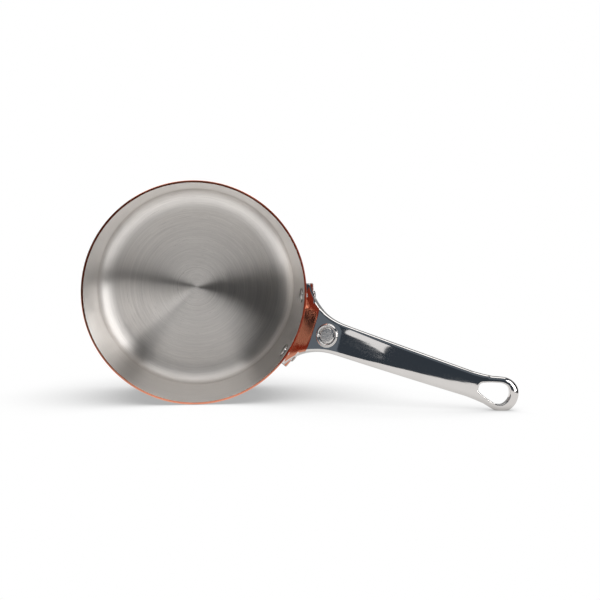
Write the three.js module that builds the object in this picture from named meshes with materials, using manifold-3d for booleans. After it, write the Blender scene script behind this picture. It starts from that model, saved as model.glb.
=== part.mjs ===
// Copper saucepan: a drawn copper body lined with stainless steel, with a cast
// stainless handle riveted to its wall.
// Millimetres, +Z up. The origin is the middle of the underside of the base.
// The handle points along -X and rises from the wall to a hanging loop.

import * as THREE from "three";
import { mergeVertices } from "three/addons/utils/BufferGeometryUtils.js";
import Module from "manifold-3d";

// Pan
const RIM_RADIUS = 90; // outside of the wall
const PAN_HEIGHT = 106; // underside of the base to the rim
const COPPER = 1.8; // wall and base
const LINING = 0.2;
const CORNER_WIDTH = 22; // the outside bend between base and wall is part of an ellipse
const CORNER_HEIGHT = 12.5;
const RIM_BREAK = 0.5; // chamfer round the outer edge of the rim
const INNER_RADIUS = RIM_RADIUS - COPPER - LINING;

// Handle. Reach is the distance from the pan's axis, rise is the height above the rim.
// The line runs on straight toward the wall, but for the lift that flattens the yoke.
const LINE_START = new THREE.Vector2(102.4, -8.7);
const HANDLE_LINE = new THREE.CubicBezierCurve(
  LINE_START,
  new THREE.Vector2(111.2, 3.4),
  new THREE.Vector2(178, 39),
  new THREE.Vector2(262, 47),
);
const LIFT = 0.035; // times the square of the distance from here toward the wall
const LIFT_REACH = 105;
const FIT_GAP = 0.3; // between the flange and the wall, and under the rivet heads
const BAR_START = 82; // inside the wall, which trims it
const BAR_REACH = 122; // where the bar's width and thickness are measured
const BAR_HALF_WIDTH = 12.9;
const BAR_TAPER = 0.026; // half-width lost for each mm of reach
const BAR_HALF_THICKNESS = 5;
const THICKNESS_TAPER = 0.011; // half-thickness lost for each mm of reach
const YOKE_REACH = 126; // where the yoke has narrowed to the bar
const YOKE_START = 95; // where these two are measured
const YOKE_FLARE = 12.3; // extra half-width
const YOKE_THINNING = 2.2; // half-thickness lost
const YOKE_CURVE = 2.6; // how quickly both fade along the yoke
const YOKE_SQUARENESS = 9; // of the bar's section: 2 is an ellipse, higher is squarer
const LOOP_SQUARENESS = 2.8;

// Flange: a wide plate round both rivets and a taller one between them
const FLANGE_THICKNESS = 7;
const EARS = { halfWidth: 35.5, top: -10.3, bottom: -22.7, corner: 5.5 };
const MIDDLE = { halfWidth: 22, top: -16.5, bottom: -31.5, corner: 5 };
const FLANGE_SOFTENING = 1.5; // edge bevel
const UNDER_YOKE = 0.8; // the ears stay this far under the yoke's face

// Medallion: a plain raised disc with a beaded rim, cast on the yoke
const MEDALLION_REACH = 114;
const MEDALLION_RADIUS = 9.1;
const MEDALLION_HEIGHT = 1.4;
const MEDALLION_BEAD = 1.05;

// Hanging loop, as half of a closed line of [reach, half-width] points
const LOOP_LINE = [
  [228, 0],
  [230, 4.6],
  [234, 7],
  [240, 8.5],
  [246, 10],
  [250.5, 10.8],
  [255.5, 9.8],
  [259, 6.4],
  [260.4, 3],
];
const LOOP_END = 260.7;
const LOOP_BAR_RADIUS = 2.9;
const LOOP_DEPTH_RATIO = 1.25; // the loop's bar is deeper than it is wide
const LOOP_TIP = 237; // centre of the hole's round end, where the bar stops
const LOOP_TIP_RADIUS = 4.8;

// Rivets
const RIVET_ANGLE = THREE.MathUtils.degToRad(15.8); // each side of the handle
const RIVET_RISE = -16.5;
const SHANK_RADIUS = 2.5;
const HOLE_RADIUS = 2.8;
const HEAD_RADIUS = 5.9; // inside the pan
const HEAD_HEIGHT = 2;
const HEAD_GAP = 0.4; // clears the curve of the wall under the flat head
const TAIL_RADIUS = 4.4; // the closed end on the flange
const TAIL_HEIGHT = 1.8;
const TAIL_GAP = 0.4; // round the closed end, where the yoke is cut away for it
const DRILL_MARGIN = 20;

// Facets
const PAN_SEGMENTS = 96;
const CORNER_STEPS = 8;
const DOME_STEPS = 4;
const RIVET_SEGMENTS = 24;
const BAR_SEGMENTS = 28;
const BAR_STEPS = 44;
const LOOP_STEPS = 56;
const LOOP_SEGMENTS = 14;
const NEARLY_ZERO = 1e-9; // a sine this small is 0 but for rounding

const copperFinish = new THREE.MeshStandardMaterial({ color: 0xc8755a, roughness: 0.2, metalness: 1 });
const brushedFinish = new THREE.MeshStandardMaterial({ color: 0xa9a4a1, roughness: 0.35, metalness: 1 });
const castFinish = new THREE.MeshStandardMaterial({ color: 0x9aa0a6, roughness: 0.1, metalness: 1 });
const rivetFinish = new THREE.MeshStandardMaterial({ color: 0xb8b4b0, roughness: 0.15, metalness: 1 });

const wasm = await Module();
wasm.setup();

// A closed geometry as a solid that can be joined and cut.
function solid(geometry) {
  const bare = geometry.clone();
  bare.deleteAttribute("normal");
  bare.deleteAttribute("uv");
  const merged = mergeVertices(bare, 1e-4);
  return new wasm.Manifold(
    new wasm.Mesh({
      numProp: 3,
      vertProperties: new Float32Array(merged.attributes.position.array),
      triVerts: new Uint32Array(merged.index.array),
    }),
  );
}

// The way back, for a named mesh.
function geometryOf(body) {
  const { vertProperties, triVerts } = body.getMesh();
  const geometry = new THREE.BufferGeometry();
  geometry.setAttribute("position", new THREE.BufferAttribute(vertProperties, 3));
  geometry.setIndex(new THREE.BufferAttribute(triVerts, 1));
  geometry.computeVertexNormals();
  return geometry;
}

function named(name, body, material) {
  const mesh = new THREE.Mesh(geometryOf(body), material);
  mesh.name = name;
  return mesh;
}

// Moves every vertex of a geometry to place(vertex).
function warp(geometry, place) {
  const position = geometry.attributes.position;
  for (let i = 0; i < position.count; i++) {
    const moved = place(new THREE.Vector3().fromBufferAttribute(position, i));
    position.setXYZ(i, moved.x, moved.y, moved.z);
  }
  return geometry;
}

// Pan

// From the axis along the base, round the corner and up the wall, this deep in the metal.
function panSkin(depth) {
  const points = [new THREE.Vector2(0, depth)];
  for (let i = 0; i <= CORNER_STEPS; i++) {
    const angle = (Math.PI / 2) * (i / CORNER_STEPS);
    points.push(
      new THREE.Vector2(
        RIM_RADIUS - CORNER_WIDTH + (CORNER_WIDTH - depth) * Math.sin(angle),
        CORNER_HEIGHT - (CORNER_HEIGHT - depth) * Math.cos(angle),
      ),
    );
  }
  return points;
}

function panShell(outerSkin, outerEdge, innerSkin, innerRadius) {
  const profile = [
    ...outerSkin,
    ...outerEdge,
    new THREE.Vector2(innerRadius, PAN_HEIGHT),
    ...innerSkin.reverse(),
  ];
  return solid(new THREE.LatheGeometry(profile, PAN_SEGMENTS).rotateX(Math.PI / 2));
}

function copperShell() {
  const brokenEdge = [
    new THREE.Vector2(RIM_RADIUS, PAN_HEIGHT - RIM_BREAK),
    new THREE.Vector2(RIM_RADIUS - RIM_BREAK, PAN_HEIGHT),
  ];
  return panShell(panSkin(0), brokenEdge, panSkin(COPPER), RIM_RADIUS - COPPER);
}

function liningShell() {
  const outerEdge = [new THREE.Vector2(RIM_RADIUS - COPPER, PAN_HEIGHT)];
  return panShell(panSkin(COPPER), outerEdge, panSkin(COPPER + LINING), INNER_RADIUS);
}

// Rivets

// Turns a geometry made along +Y into one that points out of the pan at a rivet's place.
function atRivet(geometry, side) {
  return geometry
    .rotateZ(-Math.PI / 2)
    .rotateZ(Math.PI - side * RIVET_ANGLE)
    .translate(0, 0, PAN_HEIGHT + RIVET_RISE);
}

// A round cutter along a rivet's axis, between two distances from the pan's axis.
function drill(side, radius, start, end) {
  const cutter = new THREE.CylinderGeometry(radius, radius, end - start, RIVET_SEGMENTS);
  return solid(atRivet(cutter.translate(0, (start + end) / 2, 0), side));
}

function rivetHole(side) {
  return drill(side, HOLE_RADIUS, RIM_RADIUS - DRILL_MARGIN, RIM_RADIUS + DRILL_MARGIN);
}

// Clears the yoke from the rivet's closed end.
function tailRoom(side) {
  const seat = RIM_RADIUS + FIT_GAP + FLANGE_THICKNESS;
  return drill(side, TAIL_RADIUS + TAIL_GAP, seat, seat + DRILL_MARGIN);
}

// A shallow dome's outline from its edge to its top, as [radius, height] points.
function dome(radius, height) {
  const points = [];
  for (let i = 0; i <= DOME_STEPS; i++) {
    const angle = (Math.PI / 2) * (i / DOME_STEPS);
    points.push([radius * Math.cos(angle), height * Math.sin(angle)]);
  }
  points[DOME_STEPS][0] = 0;
  return points;
}

function rivet(side) {
  const headSeat = INNER_RADIUS - HEAD_GAP;
  const tailSeat = RIM_RADIUS + FLANGE_THICKNESS + FIT_GAP + FIT_GAP;
  const head = dome(HEAD_RADIUS, HEAD_HEIGHT).map(([r, h]) => new THREE.Vector2(r, headSeat - h));
  const tail = dome(TAIL_RADIUS, TAIL_HEIGHT).map(([r, h]) => new THREE.Vector2(r, tailSeat + h));
  const profile = [
    ...head.reverse(),
    new THREE.Vector2(SHANK_RADIUS, headSeat),
    new THREE.Vector2(SHANK_RADIUS, tailSeat),
    ...tail,
  ];
  return solid(atRivet(new THREE.LatheGeometry(profile, RIVET_SEGMENTS), side));
}

// Handle

// The rise and direction of the handle's line at this reach, before the lift.
function onLine(reach) {
  const start = HANDLE_LINE.getTangent(0);
  if (reach < LINE_START.x) {
    const rise = LINE_START.y + ((reach - LINE_START.x) * start.y) / start.x;
    return { rise, tangent: start };
  }
  let low = 0;
  let high = 1;
  for (let i = 0; i < 40; i++) {
    const middle = (low + high) / 2;
    if (HANDLE_LINE.getPoint(middle).x < reach) low = middle;
    else high = middle;
  }
  return { rise: HANDLE_LINE.getPoint(low).y, tangent: HANDLE_LINE.getTangent(low) };
}

// A point beside (across) and off (above) the handle's middle line. Across is -Y,
// which keeps the mapping a turn and not a mirror.
function onHandle(reach, across, above) {
  const { rise, tangent } = onLine(reach);
  const out = reach - above * tangent.y;
  const lift = LIFT * Math.max(LIFT_REACH - out, 0) ** 2;
  return new THREE.Vector3(-out, -across, PAN_HEIGHT + rise + above * tangent.x + lift);
}

function yokeShare(reach) {
  const share = (YOKE_REACH - reach) / (YOKE_REACH - YOKE_START);
  return THREE.MathUtils.clamp(share, 0, 1.2) ** YOKE_CURVE;
}

function halfWidth(reach) {
  return BAR_HALF_WIDTH - BAR_TAPER * (reach - BAR_REACH) + YOKE_FLARE * yokeShare(reach);
}

function halfThickness(reach) {
  const taper = THICKNESS_TAPER * (reach - BAR_REACH);
  return BAR_HALF_THICKNESS - taper - YOKE_THINNING * yokeShare(reach);
}

function squareness(reach) {
  const share = THREE.MathUtils.clamp((LOOP_TIP - reach) / (LOOP_TIP - YOKE_START), 0, 1);
  return THREE.MathUtils.lerp(LOOP_SQUARENESS, YOKE_SQUARENESS, share ** 2);
}

// A sine or cosine pushed out from a circle toward a square.
function oval(value, power) {
  return Math.abs(value) < NEARLY_ZERO ? 0 : Math.sign(value) * Math.abs(value) ** power;
}

// The bar and the yoke: a straight rod, bent to the line and given its oval section.
function bar() {
  const rod = new THREE.CylinderGeometry(1, 1, 1, BAR_SEGMENTS, BAR_STEPS);
  return solid(
    warp(rod, ({ x, y, z }) => {
      const reach = THREE.MathUtils.lerp(BAR_START, LOOP_TIP, y + 0.5);
      const power = 2 / squareness(reach);
      const across = -oval(x, power) * halfWidth(reach);
      return onHandle(reach, across, oval(z, power) * halfThickness(reach));
    }),
  );
}

// The round end of the loop's hole, cut out of the end of the bar.
function holeTip() {
  const depth = 6 * LOOP_BAR_RADIUS;
  const tip = new THREE.CylinderGeometry(LOOP_TIP_RADIUS, LOOP_TIP_RADIUS, depth, BAR_SEGMENTS);
  tip.rotateX(Math.PI / 2);
  return solid(warp(tip, ({ x, y, z }) => onHandle(LOOP_TIP + x, y, z)));
}

// The two arms round the hole, as one closed ring.
function loop() {
  const near = LOOP_LINE.map(([reach, across]) => new THREE.Vector3(reach, across, 0));
  const far = LOOP_LINE.slice(1).map(([reach, across]) => new THREE.Vector3(reach, -across, 0));
  const end = new THREE.Vector3(LOOP_END, 0, 0);
  const line = new THREE.CatmullRomCurve3([...near, end, ...far.reverse()], true);
  const ring = new THREE.TubeGeometry(line, LOOP_STEPS, LOOP_BAR_RADIUS, LOOP_SEGMENTS, true);
  return solid(warp(ring, ({ x, y, z }) => onHandle(x, y, z * LOOP_DEPTH_RATIO)));
}

// A plate with rounded corners that follows the wall.
function plate({ halfWidth: half, top, bottom, corner }) {
  const inside = RIM_RADIUS + FIT_GAP;
  const outside = inside + FLANGE_THICKNESS;
  const outline = new THREE.Shape();
  const side = half - corner;
  const up = (top - bottom) / 2 - corner;
  const radius = corner - FLANGE_SOFTENING; // the bevel adds the rest
  outline.absarc(side, up, radius, 0, Math.PI / 2);
  outline.absarc(-side, up, radius, Math.PI / 2, Math.PI);
  outline.absarc(-side, -up, radius, Math.PI, Math.PI * 1.5);
  outline.absarc(side, -up, radius, Math.PI * 1.5, Math.PI * 2);
  const block = new THREE.ExtrudeGeometry(outline, {
    depth: outside,
    bevelThickness: FLANGE_SOFTENING,
    bevelSize: FLANGE_SOFTENING,
    bevelSegments: 3,
    curveSegments: 6,
  });
  const middle = PAN_HEIGHT + (top + bottom) / 2;
  block.rotateX(Math.PI / 2).rotateZ(-Math.PI / 2).translate(0, 0, middle);
  const outer = new THREE.CylinderGeometry(outside, outside, PAN_HEIGHT, PAN_SEGMENTS);
  return solid(block).intersect(solid(outer.rotateX(Math.PI / 2).translate(0, 0, middle)));
}

// Everything inside the wall, so that the handle can be cut to fit it.
function wallRoom() {
  const radius = RIM_RADIUS + FIT_GAP;
  const room = new THREE.CylinderGeometry(radius, radius, 4 * PAN_HEIGHT, PAN_SEGMENTS);
  return solid(room.rotateX(Math.PI / 2));
}

// Everything in front of the yoke's face, to trim the ears.
function beforeYoke() {
  const start = RIM_RADIUS - 10;
  const end = RIM_RADIUS + FLANGE_THICKNESS + 6;
  const block = new THREE.BoxGeometry(end - start, PAN_HEIGHT, PAN_HEIGHT, 8, 1, 1);
  block.translate((start + end) / 2, 0, PAN_HEIGHT / 2);
  return solid(warp(block, ({ x, y, z }) => onHandle(x, y, z + halfThickness(x) - UNDER_YOKE)));
}

function medallion() {
  const inner = MEDALLION_RADIUS - 2 * MEDALLION_BEAD;
  const profile = [
    [0, -MEDALLION_HEIGHT * 2],
    [MEDALLION_RADIUS, -MEDALLION_HEIGHT * 2],
    [MEDALLION_RADIUS, MEDALLION_HEIGHT * 0.6],
    [MEDALLION_RADIUS - MEDALLION_BEAD / 2, MEDALLION_HEIGHT],
    [MEDALLION_RADIUS - MEDALLION_BEAD * 1.5, MEDALLION_HEIGHT],
    [inner, MEDALLION_HEIGHT * 0.5],
    [inner / 2, MEDALLION_HEIGHT * 0.8],
    [0, MEDALLION_HEIGHT * 0.9],
  ].map(([r, h]) => new THREE.Vector2(r, h));
  const disc = new THREE.LatheGeometry(profile, 2 * RIVET_SEGMENTS).rotateX(Math.PI / 2);
  const lift = halfThickness(MEDALLION_REACH);
  return solid(warp(disc, ({ x, y, z }) => onHandle(MEDALLION_REACH + x, y, z + lift)));
}

const sides = [1, -1];
const rivetHoles = sides.map(rivetHole);
const drilled = (body) => rivetHoles.reduce((left, hole) => left.subtract(hole), body);
const cleared = (body) => sides.map(tailRoom).reduce((left, room) => left.subtract(room), body);

const casting = plate(EARS)
  .subtract(beforeYoke())
  .add(plate(MIDDLE))
  .add(bar().subtract(holeTip()))
  .add(loop())
  .add(medallion())
  .subtract(wallRoom());

const saucepan = new THREE.Group();
saucepan.add(named("copper_body", drilled(copperShell()), copperFinish));
saucepan.add(named("steel_lining", drilled(liningShell()), brushedFinish));
saucepan.add(named("handle", cleared(drilled(casting)), castFinish));
sides.forEach((side, i) => saucepan.add(named("rivet_" + (i + 1), rivet(side), rivetFinish)));

export default saucepan;
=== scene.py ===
"""Copper saucepan: the fine surfaces, materials, floor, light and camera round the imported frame.

The pan stands upright in the frame, with its handle along -X. In the picture it lies on its
side, so the floor here is an upright plane that touches the rim and the handle's loop, and
the camera looks down into the pan. Shape sizes are in millimetres until a mesh is made.
"""
import itertools
import math

import bmesh
import bpy
import numpy as np
from mathutils import Matrix, Vector

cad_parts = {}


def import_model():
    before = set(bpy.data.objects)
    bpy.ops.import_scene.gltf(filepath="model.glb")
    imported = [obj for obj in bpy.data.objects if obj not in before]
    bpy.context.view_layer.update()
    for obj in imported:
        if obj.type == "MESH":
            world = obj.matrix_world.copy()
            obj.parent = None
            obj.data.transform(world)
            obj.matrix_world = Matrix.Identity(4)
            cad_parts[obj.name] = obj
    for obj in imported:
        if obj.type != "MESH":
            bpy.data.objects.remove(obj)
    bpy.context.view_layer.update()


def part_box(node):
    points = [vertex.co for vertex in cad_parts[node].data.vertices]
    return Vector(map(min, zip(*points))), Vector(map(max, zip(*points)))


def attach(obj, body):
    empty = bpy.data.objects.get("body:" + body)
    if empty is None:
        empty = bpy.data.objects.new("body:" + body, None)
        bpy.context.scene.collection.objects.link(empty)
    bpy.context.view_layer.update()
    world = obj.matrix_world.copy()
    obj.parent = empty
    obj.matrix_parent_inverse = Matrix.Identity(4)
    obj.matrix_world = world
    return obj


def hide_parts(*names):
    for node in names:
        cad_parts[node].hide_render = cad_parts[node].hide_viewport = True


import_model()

MM = 0.001

# ---------------------------------------------------------------- sizes

pan_low, pan_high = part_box("copper_body")
handle_low, handle_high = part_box("handle")
rivet_low, rivet_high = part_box("rivet_1")

RIM_RADIUS = pan_high.x / MM
PAN_HEIGHT = pan_high.z / MM
COPPER = 1.8
LINING = 0.2
CORNER_WIDTH = 22  # the outside bend between base and wall is part of an ellipse
CORNER_HEIGHT = 12.5
RIM_ROUND = 0.9
INNER_RADIUS = RIM_RADIUS - COPPER - LINING
RING_RADIUS = 17.5  # of a fine turned line on the base, inside

RIVET_ANGLE = math.radians(15.8)
RIVET_HEIGHT = (rivet_low.z + rivet_high.z) / 2 / MM
HEAD_RADIUS = 5.9
HEAD_HEIGHT = 2.2
TAIL_RADIUS = 4.4
TAIL_HEIGHT = 1.9
SHANK_RADIUS = 2.5
HEAD_GAP = 0.1  # between the head and the inside of the wall
TAIL_SINK = 0.1  # how far the closed end sinks into the flange

# The handle's middle line, as (reach from the pan's axis, rise above the rim). It runs on
# straight at both ends.
HANDLE_LINE = np.array([(102.4, -8.7), (111.2, 3.4), (178, 39), (262, 47)], float)
LIFT = 0.035  # the yoke flattens out toward the wall, by this times the square of the distance
LIFT_REACH = 105  # from this reach
FIT_GAP = 0.3
BAR_REACH = 122  # where these are measured, with the tapers from there
BAR_HALF_WIDTH = 12.9
BAR_TAPER = 0.026
BAR_HALF_THICKNESS = 5.0
THICKNESS_TAPER = 0.011
YOKE_REACH = 126
YOKE_START = 95
YOKE_FLARE = 12.3
YOKE_THINNING = 2.2
YOKE_CURVE = 2.6  # the power at which the flare and the thinning grow toward the wall
DRAFT = 0.35  # how much the yoke narrows toward its back, for each mm
DRAFT_REACH = 145  # where that has ended
SQUARENESS = (9, 2.8)  # of the section, at the wall and at the loop: 2 is an ellipse

FLANGE_THICKNESS = 7
FLANGE_ROUND = 1.1  # radius of its outer edges
EAR_HALF_WIDTH = 10.4
EAR_HALF_HEIGHT = 6.2
EAR_SQUARENESS = 3.2
FLANGE_MIDDLE = (22, 7.5)  # half-width and half-height between the ears
FLANGE_MIDDLE_RISE = -24
FLANGE_CORNER = 5
EAR_BLEND = 7  # width of the blend between the ears and the middle
UNDER_YOKE = 0.8  # how far the ears stay below the yoke's face
UNDER_YOKE_BLEND = 1
YOKE_BLEND = 2  # between the yoke and the flange

MEDALLION_REACH = 114
MEDALLION_RADIUS = 9.1
MEDALLION_LIFT = 1.0
MEDALLION_BEAD = 1.05
MEDALLION_SLOPE = math.radians(35)
MEDALLION_BLEND = 0.8
BEAD_RISE = 0.4  # as a share of the medallion's lift
BEAD_BLEND = 0.3
FACE_RADIUS = 6.2
FACE_ROUND = 0.6
FACE_RISE = 0.2  # as a share of the medallion's lift
FACE_CROWN = 0.6  # how much of the lift the face loses at its edge

# Half of the loop's outline and of the hanging hole's, as (reach, across).
LOOP_LINE = [(219, 0), (221, 5), (227, 8.4), (233, 9.9), (239, 11.2), (245, 12.7),
             (250.5, 13.5), (256, 12.4), (260.6, 9.0), (263, 4.5)]
LOOP_END = 263.6
HOLE_LINE = [(232, 0), (233, 3.3), (236.8, 5.2), (242.2, 7), (248.4, 8.4), (253, 7.3), (255.6, 3.8)]
HOLE_END = 256.4
HOLE_ROUND = 1.2
LOOP_TIP = 237  # where the bar ends in the loop
LOOP_TIP_BLEND = 2
LOOP_BLEND = 3  # between the bar and the loop
LOOP_MARGIN = (8, 12)  # how far round the loop, along it and across its face, its outline counts
FAR = 40.0  # the outline's distance beyond that
LOOP_ROUND_REACH = 248  # centre and radius of the loop's outer end, for the floor it rests on
LOOP_ROUND_RADIUS = 13.3

# The handle's mesh: the size of its cells before they are halved, and points handled at once.
CELL = 1.05
BATCH = 20000

# ---------------------------------------------------------------- helpers


def linked(name, mesh):
    obj = bpy.data.objects.new(name, mesh)
    bpy.context.scene.collection.objects.link(obj)
    return obj


def arc(centre, width, height, start, end, steps):
    """Points from start to end degrees on an ellipse, 0 along the radius and 90 up."""
    angles = [math.radians(start + (end - start) * i / steps) for i in range(steps + 1)]
    return [(centre[0] + width * math.cos(a), centre[1] + height * math.sin(a)) for a in angles]


def straight(start, end, steps):
    """Points between two corners, without the corners themselves."""
    shares = [i / steps for i in range(1, steps)]
    return [(start[0] + (end[0] - start[0]) * s, start[1] + (end[1] - start[1]) * s) for s in shares]


def lathe(name, profile, segments, closed=False):
    """A solid of revolution about Z from (radius, height) points in millimetres."""
    rings = [[Vector((r * math.cos(a), r * math.sin(a), h)) * MM for r, h in profile]
             for a in (2 * math.pi * i / segments for i in range(segments))]
    count = len(profile)
    verts = [v for ring in rings for v in ring]
    spans = range(count) if closed else range(count - 1)
    faces = [(i * count + j, (i + 1) % segments * count + j,
              (i + 1) % segments * count + (j + 1) % count, i * count + (j + 1) % count)
             for i in range(segments) for j in spans]
    mesh = bpy.data.meshes.new(name)
    mesh.from_pydata(verts, [], faces)
    bm = bmesh.new()
    bm.from_mesh(mesh)
    bmesh.ops.remove_doubles(bm, verts=bm.verts, dist=1e-7)
    bmesh.ops.dissolve_degenerate(bm, dist=1e-8, edges=bm.edges)
    bmesh.ops.recalc_face_normals(bm, faces=bm.faces)
    bm.to_mesh(mesh)
    bm.free()
    mesh.shade_smooth()
    obj = linked(name, mesh)
    obj.modifiers.new("flat faces stay flat", "WEIGHTED_NORMAL")
    return obj


# ---------------------------------------------------------------- pan


def skin(depth, steps=32):
    """Along the base, round the corner and up the wall, this deep in the metal."""
    centre = (RIM_RADIUS - CORNER_WIDTH, CORNER_HEIGHT)
    corner = arc(centre, CORNER_WIDTH - depth, CORNER_HEIGHT - depth, -90, 0, steps)
    base = [(0, depth)] + straight((0, depth), corner[0], 12)
    wall = straight(corner[-1], (RIM_RADIUS - depth, PAN_HEIGHT), 12)
    return base + corner + wall


def pan_shell(name, outer, inner, rounding):
    top = PAN_HEIGHT
    out, into = rounding
    outer_edge = arc((RIM_RADIUS - outer - out, top - out), out, out, 0, 90, 5)
    inner_edge = arc((RIM_RADIUS - inner + into, top - into), into, into, 90, 180, 4)
    profile = skin(outer) + outer_edge + inner_edge + skin(inner)[::-1]
    return lathe(name, profile, 288)


copper_shell = pan_shell("copper_shell", 0, COPPER, (RIM_ROUND, 0.02))
lining_shell = pan_shell("lining_shell", COPPER + 0.01, COPPER + LINING, (0.02, 0.1))

# ---------------------------------------------------------------- rivets


def rivet(name, side):
    """A domed head inside the pan, the shank through the wall and flange, and the closed end."""
    head_seat = INNER_RADIUS - HEAD_GAP
    tail_seat = RIM_RADIUS + FIT_GAP + FLANGE_THICKNESS - TAIL_SINK
    head = [(r, head_seat - h) for r, h in dome(HEAD_RADIUS, HEAD_HEIGHT)]
    tail = [(r, tail_seat + h) for r, h in dome(TAIL_RADIUS, TAIL_HEIGHT)]
    profile = head[::-1] + [(SHANK_RADIUS, head_seat), (SHANK_RADIUS, tail_seat)] + tail
    obj = lathe(name, profile, 64)
    outward = Vector((-math.cos(RIVET_ANGLE), side * math.sin(RIVET_ANGLE), 0))
    turn = Vector((0, 0, 1)).rotation_difference(outward).to_matrix().to_4x4()
    obj.data.transform(Matrix.Translation((0, 0, RIVET_HEIGHT * MM)) @ turn)
    return obj


def dome(radius, height):
    """Edge to top: an undercut edge, a rounded shoulder and a shallow crown."""
    edge = height * 0.25
    points = [(radius * 0.9, 0), (radius, edge * 0.8)]
    for i in range(13):
        angle = math.pi / 2 * i / 12
        points.append((radius * math.cos(angle) ** 0.8, edge + (height - edge) * math.sin(angle)))
    points[-1] = (0, height)
    return points


rivets = [rivet("rivet_" + word, side) for word, side in (("near", 1), ("far", -1))]

# ---------------------------------------------------------------- handle casting


def smooth_min(a, b, blend):
    overlap = np.maximum(blend - np.abs(a - b), 0) / blend
    return np.minimum(a, b) - overlap ** 2 * blend / 4


def smooth_max(a, b, blend):
    return -smooth_min(-a, -b, blend)


def middle_line(t):
    """Place, first and second derivative on the handle's middle line."""
    a, b, c, d = HANDLE_LINE
    t = t[..., None]
    on = np.clip(t, 0, 1)
    place = a * (1 - on) ** 3 + 3 * b * on * (1 - on) ** 2 + 3 * c * on ** 2 * (1 - on) + d * on ** 3
    first = 3 * ((b - a) * (1 - on) ** 2 + 2 * (c - b) * on * (1 - on) + (d - c) * on ** 2)
    second = 6 * ((c - 2 * b + a) * (1 - on) + (d - 2 * c + b) * on)
    return place + first * (t - on), first, second * (t == on)


def handle_coordinates(reach, rise):
    """The reach of the nearest point on the middle line, and the height above the line."""
    lift = LIFT * np.maximum(LIFT_REACH - reach, 0) ** 2
    point = np.stack([reach, rise - lift], -1)
    t = (reach - HANDLE_LINE[0, 0]) / (HANDLE_LINE[3, 0] - HANDLE_LINE[0, 0])
    for _ in range(6):
        place, first, second = middle_line(t)
        miss = ((point - place) * first).sum(-1)
        slope = (first ** 2).sum(-1) - ((point - place) * second).sum(-1)
        t = np.clip(t + miss / np.maximum(slope, (first ** 2).sum(-1) / 3), -1, 1.2)
    place, first, _ = middle_line(t)
    first /= np.linalg.norm(first, axis=-1, keepdims=True)
    away = point - place
    above = first[..., 0] * away[..., 1] - first[..., 1] * away[..., 0]
    return place[..., 0], above


def yoke_share(reach):
    return np.clip((YOKE_REACH - reach) / (YOKE_REACH - YOKE_START), 0, 1.2) ** YOKE_CURVE


def half_thickness(reach):
    taper = THICKNESS_TAPER * (reach - BAR_REACH)
    return BAR_HALF_THICKNESS - taper - YOKE_THINNING * yoke_share(reach)


def oval(across, above, half_width, half_height, power):
    """Nearly the distance to an oval section, negative inside."""
    a = np.maximum(np.abs(across), 1e-3) / half_width
    b = np.maximum(np.abs(above), 1e-3) / half_height
    size = (a ** power + b ** power) ** (1 / power)
    steep = np.hypot(a ** (power - 1) / half_width, b ** (power - 1) / half_height)
    steep *= size ** (1 - power)
    return (size - 1) / np.maximum(steep, 1 / np.maximum(half_width, half_height))


def closed_line(points, steps):
    """A closed Catmull-Rom line through the points, with its unit tangents."""
    points = np.array(points, float)
    before, here, after, later = (np.roll(points, shift, 0) for shift in (1, 0, -1, -2))
    place, along = [], []
    for t in np.arange(steps) / steps:
        place.append(0.5 * (2 * here + (after - before) * t
                            + (2 * before - 5 * here + 4 * after - later) * t ** 2
                            + (3 * here - before - 3 * after + later) * t ** 3))
        along.append(0.5 * (after - before + 2 * (2 * before - 5 * here + 4 * after - later) * t
                            + 3 * (3 * here - before - 3 * after + later) * t ** 2))
    place = np.stack(place, 1).reshape(-1, 2)
    along = np.stack(along, 1).reshape(-1, 2)
    return place, along / np.linalg.norm(along, axis=1, keepdims=True)


def both_halves(half, end):
    mirrored = [(reach, -across) for reach, across in half[:0:-1]]
    return closed_line(half + [(end, 0)] + mirrored, 24)


loop_outline = both_halves(LOOP_LINE, LOOP_END)
hole_outline = both_halves(HOLE_LINE, HOLE_END)


def outside(outline, reach, across, above):
    """The distance from a closed outline, negative within it. Far from the loop, large."""
    places, tangents = outline
    distance = np.full(reach.shape, FAR)
    near = (reach > LOOP_LINE[0][0] - LOOP_MARGIN[0]) & (np.abs(above) < LOOP_MARGIN[1])
    points = np.stack([reach[near], across[near]], -1)
    side = np.empty(len(points))
    for start in range(0, len(points), BATCH):
        part = points[start:start + BATCH]
        gaps = ((part[:, None] - places) ** 2).sum(-1)
        closest = gaps.argmin(1)
        away = part - places[closest]
        tangent = tangents[closest]
        side[start:start + BATCH] = tangent[:, 0] * away[:, 1] - tangent[:, 1] * away[:, 0]
    distance[near] = side
    return distance


def grip(reach, across, above):
    """The bar with the loop at its end: a flat oval across, with the hole cut through."""
    half_width = BAR_HALF_WIDTH - BAR_TAPER * (reach - BAR_REACH) + YOKE_FLARE * yoke_share(reach)
    gap = outside(hole_outline, reach, across, above)
    bar_edge = smooth_max(np.abs(across) - half_width, reach - LOOP_TIP, LOOP_TIP_BLEND)
    loop_edge = outside(loop_outline, reach, across, above)
    outline = smooth_min(bar_edge, loop_edge, LOOP_BLEND)
    draft = DRAFT * np.clip((DRAFT_REACH - reach) / (DRAFT_REACH - YOKE_REACH), 0, 1)
    outline += draft * np.clip(-above, 0, BAR_HALF_THICKNESS)
    share = np.clip((LOOP_TIP - reach) / (LOOP_TIP - YOKE_START), 0, 1)
    power = SQUARENESS[1] + (SQUARENESS[0] - SQUARENESS[1]) * share ** 2
    flank = np.maximum(outline + half_width, 0)
    body = oval(flank, above, half_width, half_thickness(reach), power)
    return smooth_max(body, -gap, HOLE_ROUND)


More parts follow.
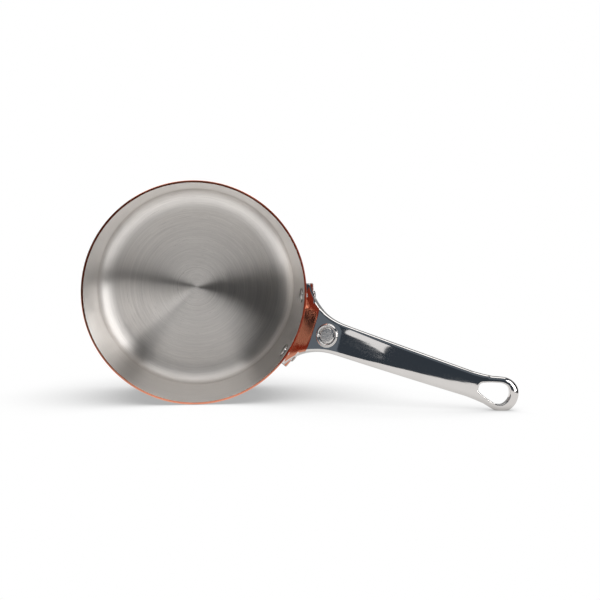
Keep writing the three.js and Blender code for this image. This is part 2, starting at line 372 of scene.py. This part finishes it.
def rounded_rectangle(a, b, half_width, half_height, corner):
    over_a = np.abs(a) - half_width + corner
    over_b = np.abs(b) - half_height + corner
    beyond = np.hypot(np.maximum(over_a, 0), np.maximum(over_b, 0))
    return beyond + np.minimum(np.maximum(over_a, over_b), 0) - corner


def flange(x, y, z):
    """A plate that follows the wall, with an ear round each rivet."""
    radius = np.hypot(x, y)
    middle = RIM_RADIUS + FLANGE_THICKNESS / 2
    around = np.arctan2(y, -x) * middle
    ear_at = RIVET_ANGLE * middle
    ears = oval(np.abs(around) - ear_at, z - RIVET_HEIGHT, EAR_HALF_WIDTH, EAR_HALF_HEIGHT,
                EAR_SQUARENESS)
    centre = z - PAN_HEIGHT - FLANGE_MIDDLE_RISE
    between = rounded_rectangle(around, centre, *FLANGE_MIDDLE, FLANGE_CORNER)
    outline = smooth_min(ears, between, EAR_BLEND)
    outer = radius - RIM_RADIUS - FIT_GAP - FLANGE_THICKNESS
    over_outline = outline + FLANGE_ROUND
    over_outer = outer + FLANGE_ROUND
    rounded = np.hypot(np.maximum(over_outline, 0), np.maximum(over_outer, 0))
    return rounded + np.minimum(np.maximum(over_outline, over_outer), 0) - FLANGE_ROUND


def medallion(reach, across, above):
    """A raised disc with a rounded rim and a plain, slightly domed face, with no mark on it."""
    out = np.hypot((reach - MEDALLION_REACH) / math.cos(MEDALLION_SLOPE), across)
    lift = above - half_thickness(MEDALLION_REACH)
    bead_at = MEDALLION_RADIUS - MEDALLION_BEAD
    bead = np.hypot(out - bead_at, lift - MEDALLION_LIFT * BEAD_RISE) - MEDALLION_BEAD
    past_face = np.maximum(out - FACE_RADIUS + FACE_ROUND, 0)
    face = np.hypot(past_face, lift - MEDALLION_LIFT * FACE_RISE) - FACE_ROUND
    crown = lift - MEDALLION_LIFT * (1 - FACE_CROWN * (out / FACE_RADIUS) ** 2)
    return smooth_min(bead, smooth_max(face, crown, BEAD_BLEND), BEAD_BLEND)


def medallion_middle():
    """The middle of the medallion's face in the frame, in metres."""
    t = np.linspace(0, 1, 400)
    places, slopes, _ = middle_line(t)
    nearest = np.abs(places[:, 0] - MEDALLION_REACH).argmin()
    along = slopes[nearest] / np.linalg.norm(slopes[nearest])
    lift = half_thickness(MEDALLION_REACH) + MEDALLION_LIFT / 2
    reach, rise = places[nearest] + lift * np.array([-along[1], along[0]])
    return (-reach * MM, 0.0, (PAN_HEIGHT + rise) * MM)


def casting(x, y, z):
    reach, above = handle_coordinates(-x, z - PAN_HEIGHT)
    under_yoke = above - half_thickness(reach) + UNDER_YOKE
    ears = smooth_max(flange(x, y, z), under_yoke, UNDER_YOKE_BLEND)
    body = smooth_min(grip(reach, y, above), ears, YOKE_BLEND)
    body = smooth_min(body, medallion(reach, y, above), MEDALLION_BLEND)
    return np.maximum(body, RIM_RADIUS + FIT_GAP - np.hypot(x, y))


def gradient(distance, points, step=0.02):
    slopes = []
    for axis in range(3):
        shift = np.zeros(3)
        shift[axis] = step
        slopes.append(distance(*(points + shift).T) - distance(*(points - shift).T))
    return np.stack(slopes, -1) / (2 * step)


def settle(distance, points, cell, rounds):
    """Moves points onto the surface where distance is 0."""
    for _ in range(rounds):
        slope = gradient(distance, points)
        pull = distance(*points.T)[:, None] * slope / np.maximum((slope ** 2).sum(-1), 0.1)[:, None]
        points = points - np.clip(pull, -cell, cell)
    return points


def surface_net(distance, low, high, cell):
    """Quads over the surface where distance is 0: one point for each cell it crosses."""
    axes = [np.arange(low[i], high[i] + cell, cell) for i in range(3)]
    inside = np.stack([distance(*np.meshgrid([x], *axes[1:], indexing="ij"))[0] < 0
                       for x in axes[0]])
    shape = np.array(inside.shape) - 1
    filled = sum(inside[tuple(slice(s, s + n) for s, n in zip(shift, shape))].astype(int)
                 for shift in itertools.product((0, 1), repeat=3))
    crossed = (filled > 0) & (filled < 8)
    number = np.full(crossed.shape, -1)
    number[crossed] = np.arange(crossed.sum())
    points = np.array(low) + (np.argwhere(crossed) + 0.5) * cell
    quads = []
    for axis in range(3):
        first, second = (axis + 1) % 3, (axis + 2) % 3
        change = np.diff(inside.astype(int), axis=axis)
        at = np.argwhere(change != 0)
        at = at[(at[:, first] > 0) & (at[:, second] > 0)]
        at = at[(at[:, first] < shape[first]) & (at[:, second] < shape[second])]
        ring = []
        for back_first, back_second in ((1, 1), (0, 1), (0, 0), (1, 0)):
            cell_at = at.copy()
            cell_at[:, first] -= back_first
            cell_at[:, second] -= back_second
            ring.append(number[tuple(cell_at.T)])
        ring = np.stack(ring, 1)
        leaving = change[tuple(at.T)] > 0
        ring[leaving] = ring[leaving][:, ::-1]
        quads.append(ring)
    quads = np.concatenate(quads)
    points = settle(distance, points, cell, 4)
    for _ in range(3):
        points = settle(distance, evened(points, quads), cell, 2)
    return points, quads


def evened(points, quads):
    """Each point moved halfway to the middle of its neighbours."""
    total = np.zeros_like(points)
    count = np.zeros(len(points))
    for step in (1, -1):
        neighbour = np.roll(quads, step, 1)
        np.add.at(total, quads.ravel(), points[neighbour.ravel()])
        np.add.at(count, quads.ravel(), 1)
    return (points + total / count[:, None]) / 2


def handle_casting():
    margin = 2
    low = [value / MM - margin for value in handle_low]
    high = [value / MM + margin for value in handle_high]
    cell = CELL
    points, quads = surface_net(casting, low, high, cell)
    mesh = bpy.data.meshes.new("handle_casting")
    mesh.from_pydata(points, [], quads.tolist())
    bm = bmesh.new()
    bm.from_mesh(mesh)
    bmesh.ops.subdivide_edges(bm, edges=bm.edges, cuts=1, use_grid_fill=True)
    points = settle(casting, np.array([v.co for v in bm.verts]), cell, 3)
    for vert, point in zip(bm.verts, points):
        vert.co = point * MM
    bm.to_mesh(mesh)
    bm.free()
    mesh.shade_smooth()
    normals = gradient(casting, points)
    normals /= np.linalg.norm(normals, axis=1, keepdims=True)
    mesh.normals_split_custom_set_from_vertices(normals.tolist())
    return linked("handle_casting", mesh)


handle = handle_casting()

# ---------------------------------------------------------------- materials


class Nodes:
    """Short ways to add and link shader nodes."""

    def __init__(self, name):
        self.material = bpy.data.materials.new(name)
        self.material.use_nodes = True
        self.tree = self.material.node_tree
        self.shader = self.tree.nodes["Principled BSDF"]
        self.where = self.add("ShaderNodeTexCoord").outputs["Object"]

    def add(self, kind, inputs=None, **settings):
        node = self.tree.nodes.new(kind)
        for key, value in settings.items():
            setattr(node, key, value)
        for key, value in (inputs or {}).items():
            self.feed(node.inputs[key], value)
        return node

    def feed(self, socket, value):
        if isinstance(value, bpy.types.NodeSocket):
            self.tree.links.new(value, socket)
        else:
            socket.default_value = value

    def math(self, operation, *values):
        node = self.add("ShaderNodeMath", operation=operation)
        for socket, value in zip(node.inputs, values):
            self.feed(socket, value)
        return node.outputs[0]

    def spread(self, value, low, high, to_low, to_high):
        """Maps a value from one range to another, clamped."""
        node = self.add("ShaderNodeMapRange", {
            "Value": value, "From Min": low, "From Max": high, "To Min": to_low, "To Max": to_high})
        return node.outputs[0]

    def noise(self, vector, scale, detail=2.0, roughness=0.5):
        node = self.add("ShaderNodeTexNoise", {
            "Vector": vector, "Scale": scale, "Detail": detail, "Roughness": roughness})
        return node.outputs["Fac"]

    def mix(self, share, first, second):
        node = self.add("ShaderNodeMix", data_type="RGBA")
        self.feed(node.inputs["Factor"], share)
        self.feed(node.inputs["A"], first)
        self.feed(node.inputs["B"], second)
        return node.outputs["Result"]

    def bump(self, height, strength, distance, normal=None):
        node = self.add("ShaderNodeBump", {
            "Height": height, "Strength": strength, "Distance": distance})
        if normal:
            self.feed(node.inputs["Normal"], normal)
        return node.outputs["Normal"]

    def distance(self, place):
        return self.add("ShaderNodeVectorMath", {0: self.where, 1: place},
                        operation="DISTANCE").outputs["Value"]

    def set(self, **values):
        for key, value in values.items():
            self.feed(self.shader.inputs[key.replace("_", " ")], value)
        return self.material


def turned_lines(n, fine, coarse):
    """Rings round the pan's axis: noise that runs along each circle and changes across it."""
    parts = n.add("ShaderNodeSeparateXYZ", {"Vector": n.where}).outputs
    radius = n.math("SQRT", n.math("ADD", n.math("MULTIPLY", parts[0], parts[0]),
                                   n.math("MULTIPLY", parts[1], parts[1])))
    angle = n.math("ARCTAN2", parts[1], parts[0])
    around = n.math("COSINE", angle)
    lines = []
    for across, along in (fine, coarse):
        vector = n.add("ShaderNodeCombineXYZ", {
            "X": n.math("MULTIPLY", radius, across),
            "Y": n.math("MULTIPLY", parts[2], across),
            "Z": n.math("MULTIPLY", around, along)}).outputs[0]
        lines.append(n.noise(vector, 1.0, 3.0, 0.6))
    return radius, lines[0], lines[1]


def lining_material():
    n = Nodes("brushed stainless steel")
    radius, fine, coarse = turned_lines(n, (2600, 5.0), (700, 1.2))
    lines = n.math("ADD", n.math("MULTIPLY", fine, 0.4), n.math("MULTIPLY", coarse, 0.6))
    colour = n.mix(n.spread(lines, 0.35, 0.65, 0, 1),
                   (0.64, 0.615, 0.59, 1), (0.80, 0.77, 0.74, 1))
    sharp = n.spread(fine, 0.56, 0.66, 0, 1)
    scratches = n.math("MULTIPLY", sharp, n.spread(coarse, 0.4, 0.6, 0, 1))
    from_ring = n.math("ABSOLUTE", n.math("SUBTRACT", radius, RING_RADIUS * MM))
    marks = n.math("MAXIMUM", scratches, n.spread(from_ring, 0, 0.0004, 0.6, 0))
    colour = n.mix(n.math("MULTIPLY", marks, 0.6), colour, (0.38, 0.36, 0.34, 1))
    roughness = n.spread(coarse, 0.3, 0.7, 0.285, 0.335)
    tangent = n.add("ShaderNodeTangent", direction_type="RADIAL", axis="Z").outputs[0]
    return n.set(Base_Color=colour, Metallic=1.0, Roughness=roughness, Anisotropic=1.0,
                 Anisotropic_Rotation=0.25, Tangent=tangent,
                 Normal=n.bump(lines, 0.03, 0.0001))


def copper_material():
    n = Nodes("polished copper")
    _, fine, coarse = turned_lines(n, (2500, 2.0), (300, 1.0))
    stain = n.noise(n.where, 14.0, 4.0, 0.6)
    colour = n.mix(n.spread(stain, 0.35, 0.7, 0, 1), (0.82, 0.34, 0.22, 1), (0.68, 0.25, 0.15, 1))
    roughness = n.spread(n.math("ADD", fine, stain), 0.7, 1.3, 0.22, 0.32)
    tangent = n.add("ShaderNodeTangent", direction_type="RADIAL", axis="Z").outputs[0]
    return n.set(Base_Color=colour, Metallic=1.0, Roughness=roughness, Anisotropic=0.6,
                 Anisotropic_Rotation=0.25, Tangent=tangent,
                 Normal=n.bump(n.math("ADD", fine, coarse), 0.05, 0.0002))


def handle_material():
    n = Nodes("polished cast steel")
    slow = n.noise(n.where, 60.0, 2.0)
    scuffs = n.noise(n.where, 900.0, 3.0, 0.6)
    colour = n.mix(slow, (0.61, 0.585, 0.565, 1), (0.67, 0.645, 0.625, 1))
    stretched = n.add("ShaderNodeMapping", {"Vector": n.where, "Scale": (14.0, 90.0, 30.0)})
    waves = n.noise(stretched.outputs[0], 1.0, 2.0)
    face = n.spread(n.distance(medallion_middle()), 0.0055, 0.0062, 1.0, 0.0)
    polished = n.spread(scuffs, 0.3, 0.8, 0.05, 0.075)
    roughness = n.math("ADD", polished, n.math("MULTIPLY", face, 0.22))
    stipple = n.math("MULTIPLY", face, n.noise(n.where, 1100.0, 2.0))
    return n.set(Base_Color=colour, Metallic=1.0, Roughness=roughness,
                 Normal=n.bump(stipple, 0.6, 0.0006, n.bump(waves, 0.2, 0.0006)))


def rivet_material():
    n = Nodes("rivet steel")
    dents = n.noise(n.where, 260.0, 2.0)
    colour = n.mix(dents, (0.44, 0.43, 0.42, 1), (0.56, 0.545, 0.53, 1))
    roughness = n.spread(dents, 0.3, 0.7, 0.06, 0.14)
    return n.set(Base_Color=colour, Metallic=1.0, Roughness=roughness,
                 Normal=n.bump(dents, 0.35, 0.0008))


pieces = [
    (copper_shell, ["copper_body"], "copper", copper_material()),
    (lining_shell, ["steel_lining"], "lining", lining_material()),
    (handle, ["handle"], "handle", handle_material()),
]
rivet_finish = rivet_material()
for number, piece in enumerate(rivets, 1):
    pieces.append((piece, ["rivet_%d" % number], "rivets", rivet_finish))

for piece, nodes, slot, material in pieces:
    piece.data.materials.append(material)
    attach(piece, "root")
    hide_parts(*nodes)

# ---------------------------------------------------------------- floor, light and camera

DIM_ROOM = (0.018, 0.022, 0.028, 1)
FLOOR_GAP = 0.05  # under the rim
ON_FLOOR = -(RIM_RADIUS + 0.03) * MM  # for the cards that stand in for the floor

LENS = 57.75
SENSOR_WIDTH = 36
CAMERA_PLACE = (0.0130, 0.0457, 0.7735)  # right, up and toward the viewer, in metres
CAMERA_TARGET = (0.0845, -0.0059, 0)

FLOOR_OUTLINE = ((-3.0, -6.0), (0.4, -6.0), (0.4, 0.8), (-3.0, 0.8))  # right, viewer
# Painted contact shadow: the floor's glow darkens near the pan within this reach, from ambient occlusion
# and not from the lights.
SHADOW_REACH = 0.12
SHADOW_SHADE = 0.42  # the floor's brightness where the shadow is deepest

# The floor touches the rim and the loop, so it leans from the handle by this angle.
LEAN = math.asin((RIM_RADIUS - LOOP_ROUND_RADIUS) / LOOP_ROUND_REACH)
UP = Vector((math.sin(LEAN), -math.cos(LEAN), 0))  # the floor's normal
RIGHT = Vector((-math.cos(LEAN), -math.sin(LEAN), 0))
VIEWER = Vector((0, 0, 1))  # out of the pan's mouth
MOUTH = Vector((0, 0, PAN_HEIGHT * MM))


def at(right, up, viewer):
    """A place in metres from the middle of the pan's mouth."""
    return MOUTH + RIGHT * right + UP * up + VIEWER * viewer


def floor(lights):
    mesh = bpy.data.meshes.new("floor")
    middle = MOUTH - UP * (RIM_RADIUS + FLOOR_GAP) * MM
    corners = [middle + RIGHT * a + VIEWER * b for a, b in FLOOR_OUTLINE]
    mesh.from_pydata(corners, [], [range(len(corners))])
    obj = linked("floor", mesh)
    obj.light_linking.receiver_collection = lights
    if mesh.polygons[0].normal.dot(UP) < 0:
        mesh.flip_normals()
    # The floor glows an even white, and its contact shadow is painted in from ambient occlusion near the
    # pan.
    n = Nodes("glowing floor with painted contact shadow")
    closeness = n.add("ShaderNodeAmbientOcclusion", {"Distance": SHADOW_REACH}, samples=16).outputs["AO"]
    shade = n.spread(closeness, 0.25, 0.9, SHADOW_SHADE, 1.0)
    floor_glow = n.add("ShaderNodeEmission", {"Strength": shade}).outputs[0]
    behind = n.math("MULTIPLY", n.add("ShaderNodeNewGeometry").outputs["Backfacing"],
                    n.add("ShaderNodeLightPath").outputs["Is Camera Ray"])
    see_through = n.add("ShaderNodeMixShader", {"Fac": behind})
    n.feed(see_through.inputs[1], floor_glow)
    n.feed(see_through.inputs[2], n.add("ShaderNodeBsdfTransparent").outputs[0])
    output = n.tree.nodes["Material Output"]
    n.feed(output.inputs["Surface"], see_through.outputs[0])
    mesh.materials.append(n.material)


def group(name, objects):
    collection = bpy.data.collections.new(name)
    for obj in objects:
        collection.objects.link(obj)
    return collection


def softbox(name, place, target, size, glow, lights=None, colour=(1, 1, 1)):
    """A rectangular light that looks this bright, next to a white floor's 1."""
    data = bpy.data.lights.new(name, "AREA")
    data.shape = "RECTANGLE"
    data.size, data.size_y = size
    data.energy = glow * math.pi * size[0] * size[1]
    data.color = colour
    obj = linked(name, data)
    obj.location = place
    obj.rotation_euler = (target - place).to_track_quat("-Z", "Y").to_euler()
    obj.visible_camera = False
    if lights:
        obj.light_linking.receiver_collection = lights


def world():
    """White behind the pan and to the camera, and a dim room on the viewer's side."""
    scene_world = bpy.data.worlds.new("studio")
    bpy.context.scene.world = scene_world
    scene_world.use_nodes = True
    nodes, links = scene_world.node_tree.nodes, scene_world.node_tree.links
    direction = nodes.new("ShaderNodeTexCoord").outputs["Generated"]
    parts = nodes.new("ShaderNodeSeparateXYZ")
    links.new(direction, parts.inputs[0])
    ramp = nodes.new("ShaderNodeMapRange")
    ramp.inputs["From Min"].default_value = 0.1
    ramp.inputs["From Max"].default_value = -0.3
    ramp.inputs["To Max"].default_value = 0.3
    links.new(parts.outputs["Z"], ramp.inputs["Value"])
    white = nodes.new("ShaderNodeMath")
    white.operation = "MAXIMUM"
    links.new(ramp.outputs[0], white.inputs[0])
    links.new(nodes.new("ShaderNodeLightPath").outputs["Is Camera Ray"], white.inputs[1])
    colour = nodes.new("ShaderNodeMix")
    colour.data_type = "RGBA"
    colour.inputs["A"].default_value = DIM_ROOM
    colour.inputs["B"].default_value = (1, 1, 1, 1)
    links.new(white.outputs[0], colour.inputs["Factor"])
    links.new(colour.outputs["Result"], nodes["Background"].inputs["Color"])


def camera():
    data = bpy.data.cameras.new("camera")
    data.sensor_width = SENSOR_WIDTH
    data.lens = LENS
    obj = linked("camera", data)
    obj.location = at(*CAMERA_PLACE)
    target = at(*CAMERA_TARGET)
    back = (obj.location - target).normalized()
    side = UP.cross(back).normalized()
    obj.rotation_euler = Matrix((side, back.cross(side), back)).transposed().to_euler()
    bpy.context.scene.camera = obj


inside = group("lit inside", [lining_shell])
copper = group("lit copper", [copper_shell])
steel = group("lit handle", [handle] + rivets)
heads = group("lit rivets", rivets)
all_steel = group("lit steel", [lining_shell, handle] + rivets)
floor(steel)

# Each light reaches only one group of pieces. The copper's red lights are there for its
# reflection in the yoke, and also redden its outside on the handle's side.
softbox("top light", at(0, 1.0, 0.6), at(0, 0, 0.6), (1.4, 1.25), 2.0, inside)
softbox("copper top", at(0, 1.0, -0.6), at(0, 0, -0.6), (1.4, 1.0), 2.0, copper)
softbox("handle top light", at(0, 1.0, 0.2), at(0, 0, 0.2), (1.4, 0.6), 2.0, steel)
softbox("right light", at(0.69, 0.2, 0.69), at(0, 0, 0), (0.6, 0.28), 6.3, all_steel)
softbox("low right light", at(0.93, 0.28, 0.23), at(0, 0, 0), (0.29, 0.4), 8.0, inside)
softbox("rivet light", at(-0.2, 0.6, 0.7), at(0, 0, 0), (0.35, 0.35), 10.0, heads)
softbox("rivet card", at(-0.55, -0.05, 0.5), at(0, 0, 0), (0.25, 0.25), 4.0, heads)
softbox("left wash", at(-1.0, 0.1, 0.6), at(0, 0.1, 0.6), (1.2, 0.9), 0.18, steel, (0.78, 0.92, 1.08))
softbox("left card", at(-0.55, 0.33, 1.05), at(0.1, 0, 0), (0.4, 0.4), 1.0, steel)
softbox("front card", at(-0.05, ON_FLOOR, 0.16), at(-0.05, 0, 0.16), (0.9, 0.2), 2.4, inside)
softbox("middle card", at(0.02, ON_FLOOR, 0.12), at(0.02, 0, 0.12), (0.22, 0.13), 1.5, inside)
softbox("copper card", at(-0.55, ON_FLOOR, -0.35), at(-0.55, 0, -0.35), (1.3, 0.9), 1.0, copper)
softbox("copper floor", at(0.6, ON_FLOOR, 0), at(0.6, 0, 0), (1.0, 2.4), 0.3, copper, (1, 0.25, 0.15))
softbox("copper wash", at(0.2, 0.1, 1.8), at(0, 0, 0), (3.6, 3.6), 0.07, copper, (1, 0.55, 0.4))
softbox("copper side", at(1.1, 0.6, 0.4), at(0, 0, 0), (1.8, 1.8), 0.3, copper, (1, 0.25, 0.15))
softbox("front wash", at(0, 0.1, 1.8), at(0, 0, 0), (3.6, 3.6), 0.04, steel, (0.65, 0.85, 1.1))
softbox("high wash", at(0, 1.0, 1.15), at(0, 0, 1.15), (2.4, 1.2), 0.13, steel, (0.75, 0.87, 1.0))
world()
camera()
bpy.context.scene.view_settings.view_transform = "Standard"
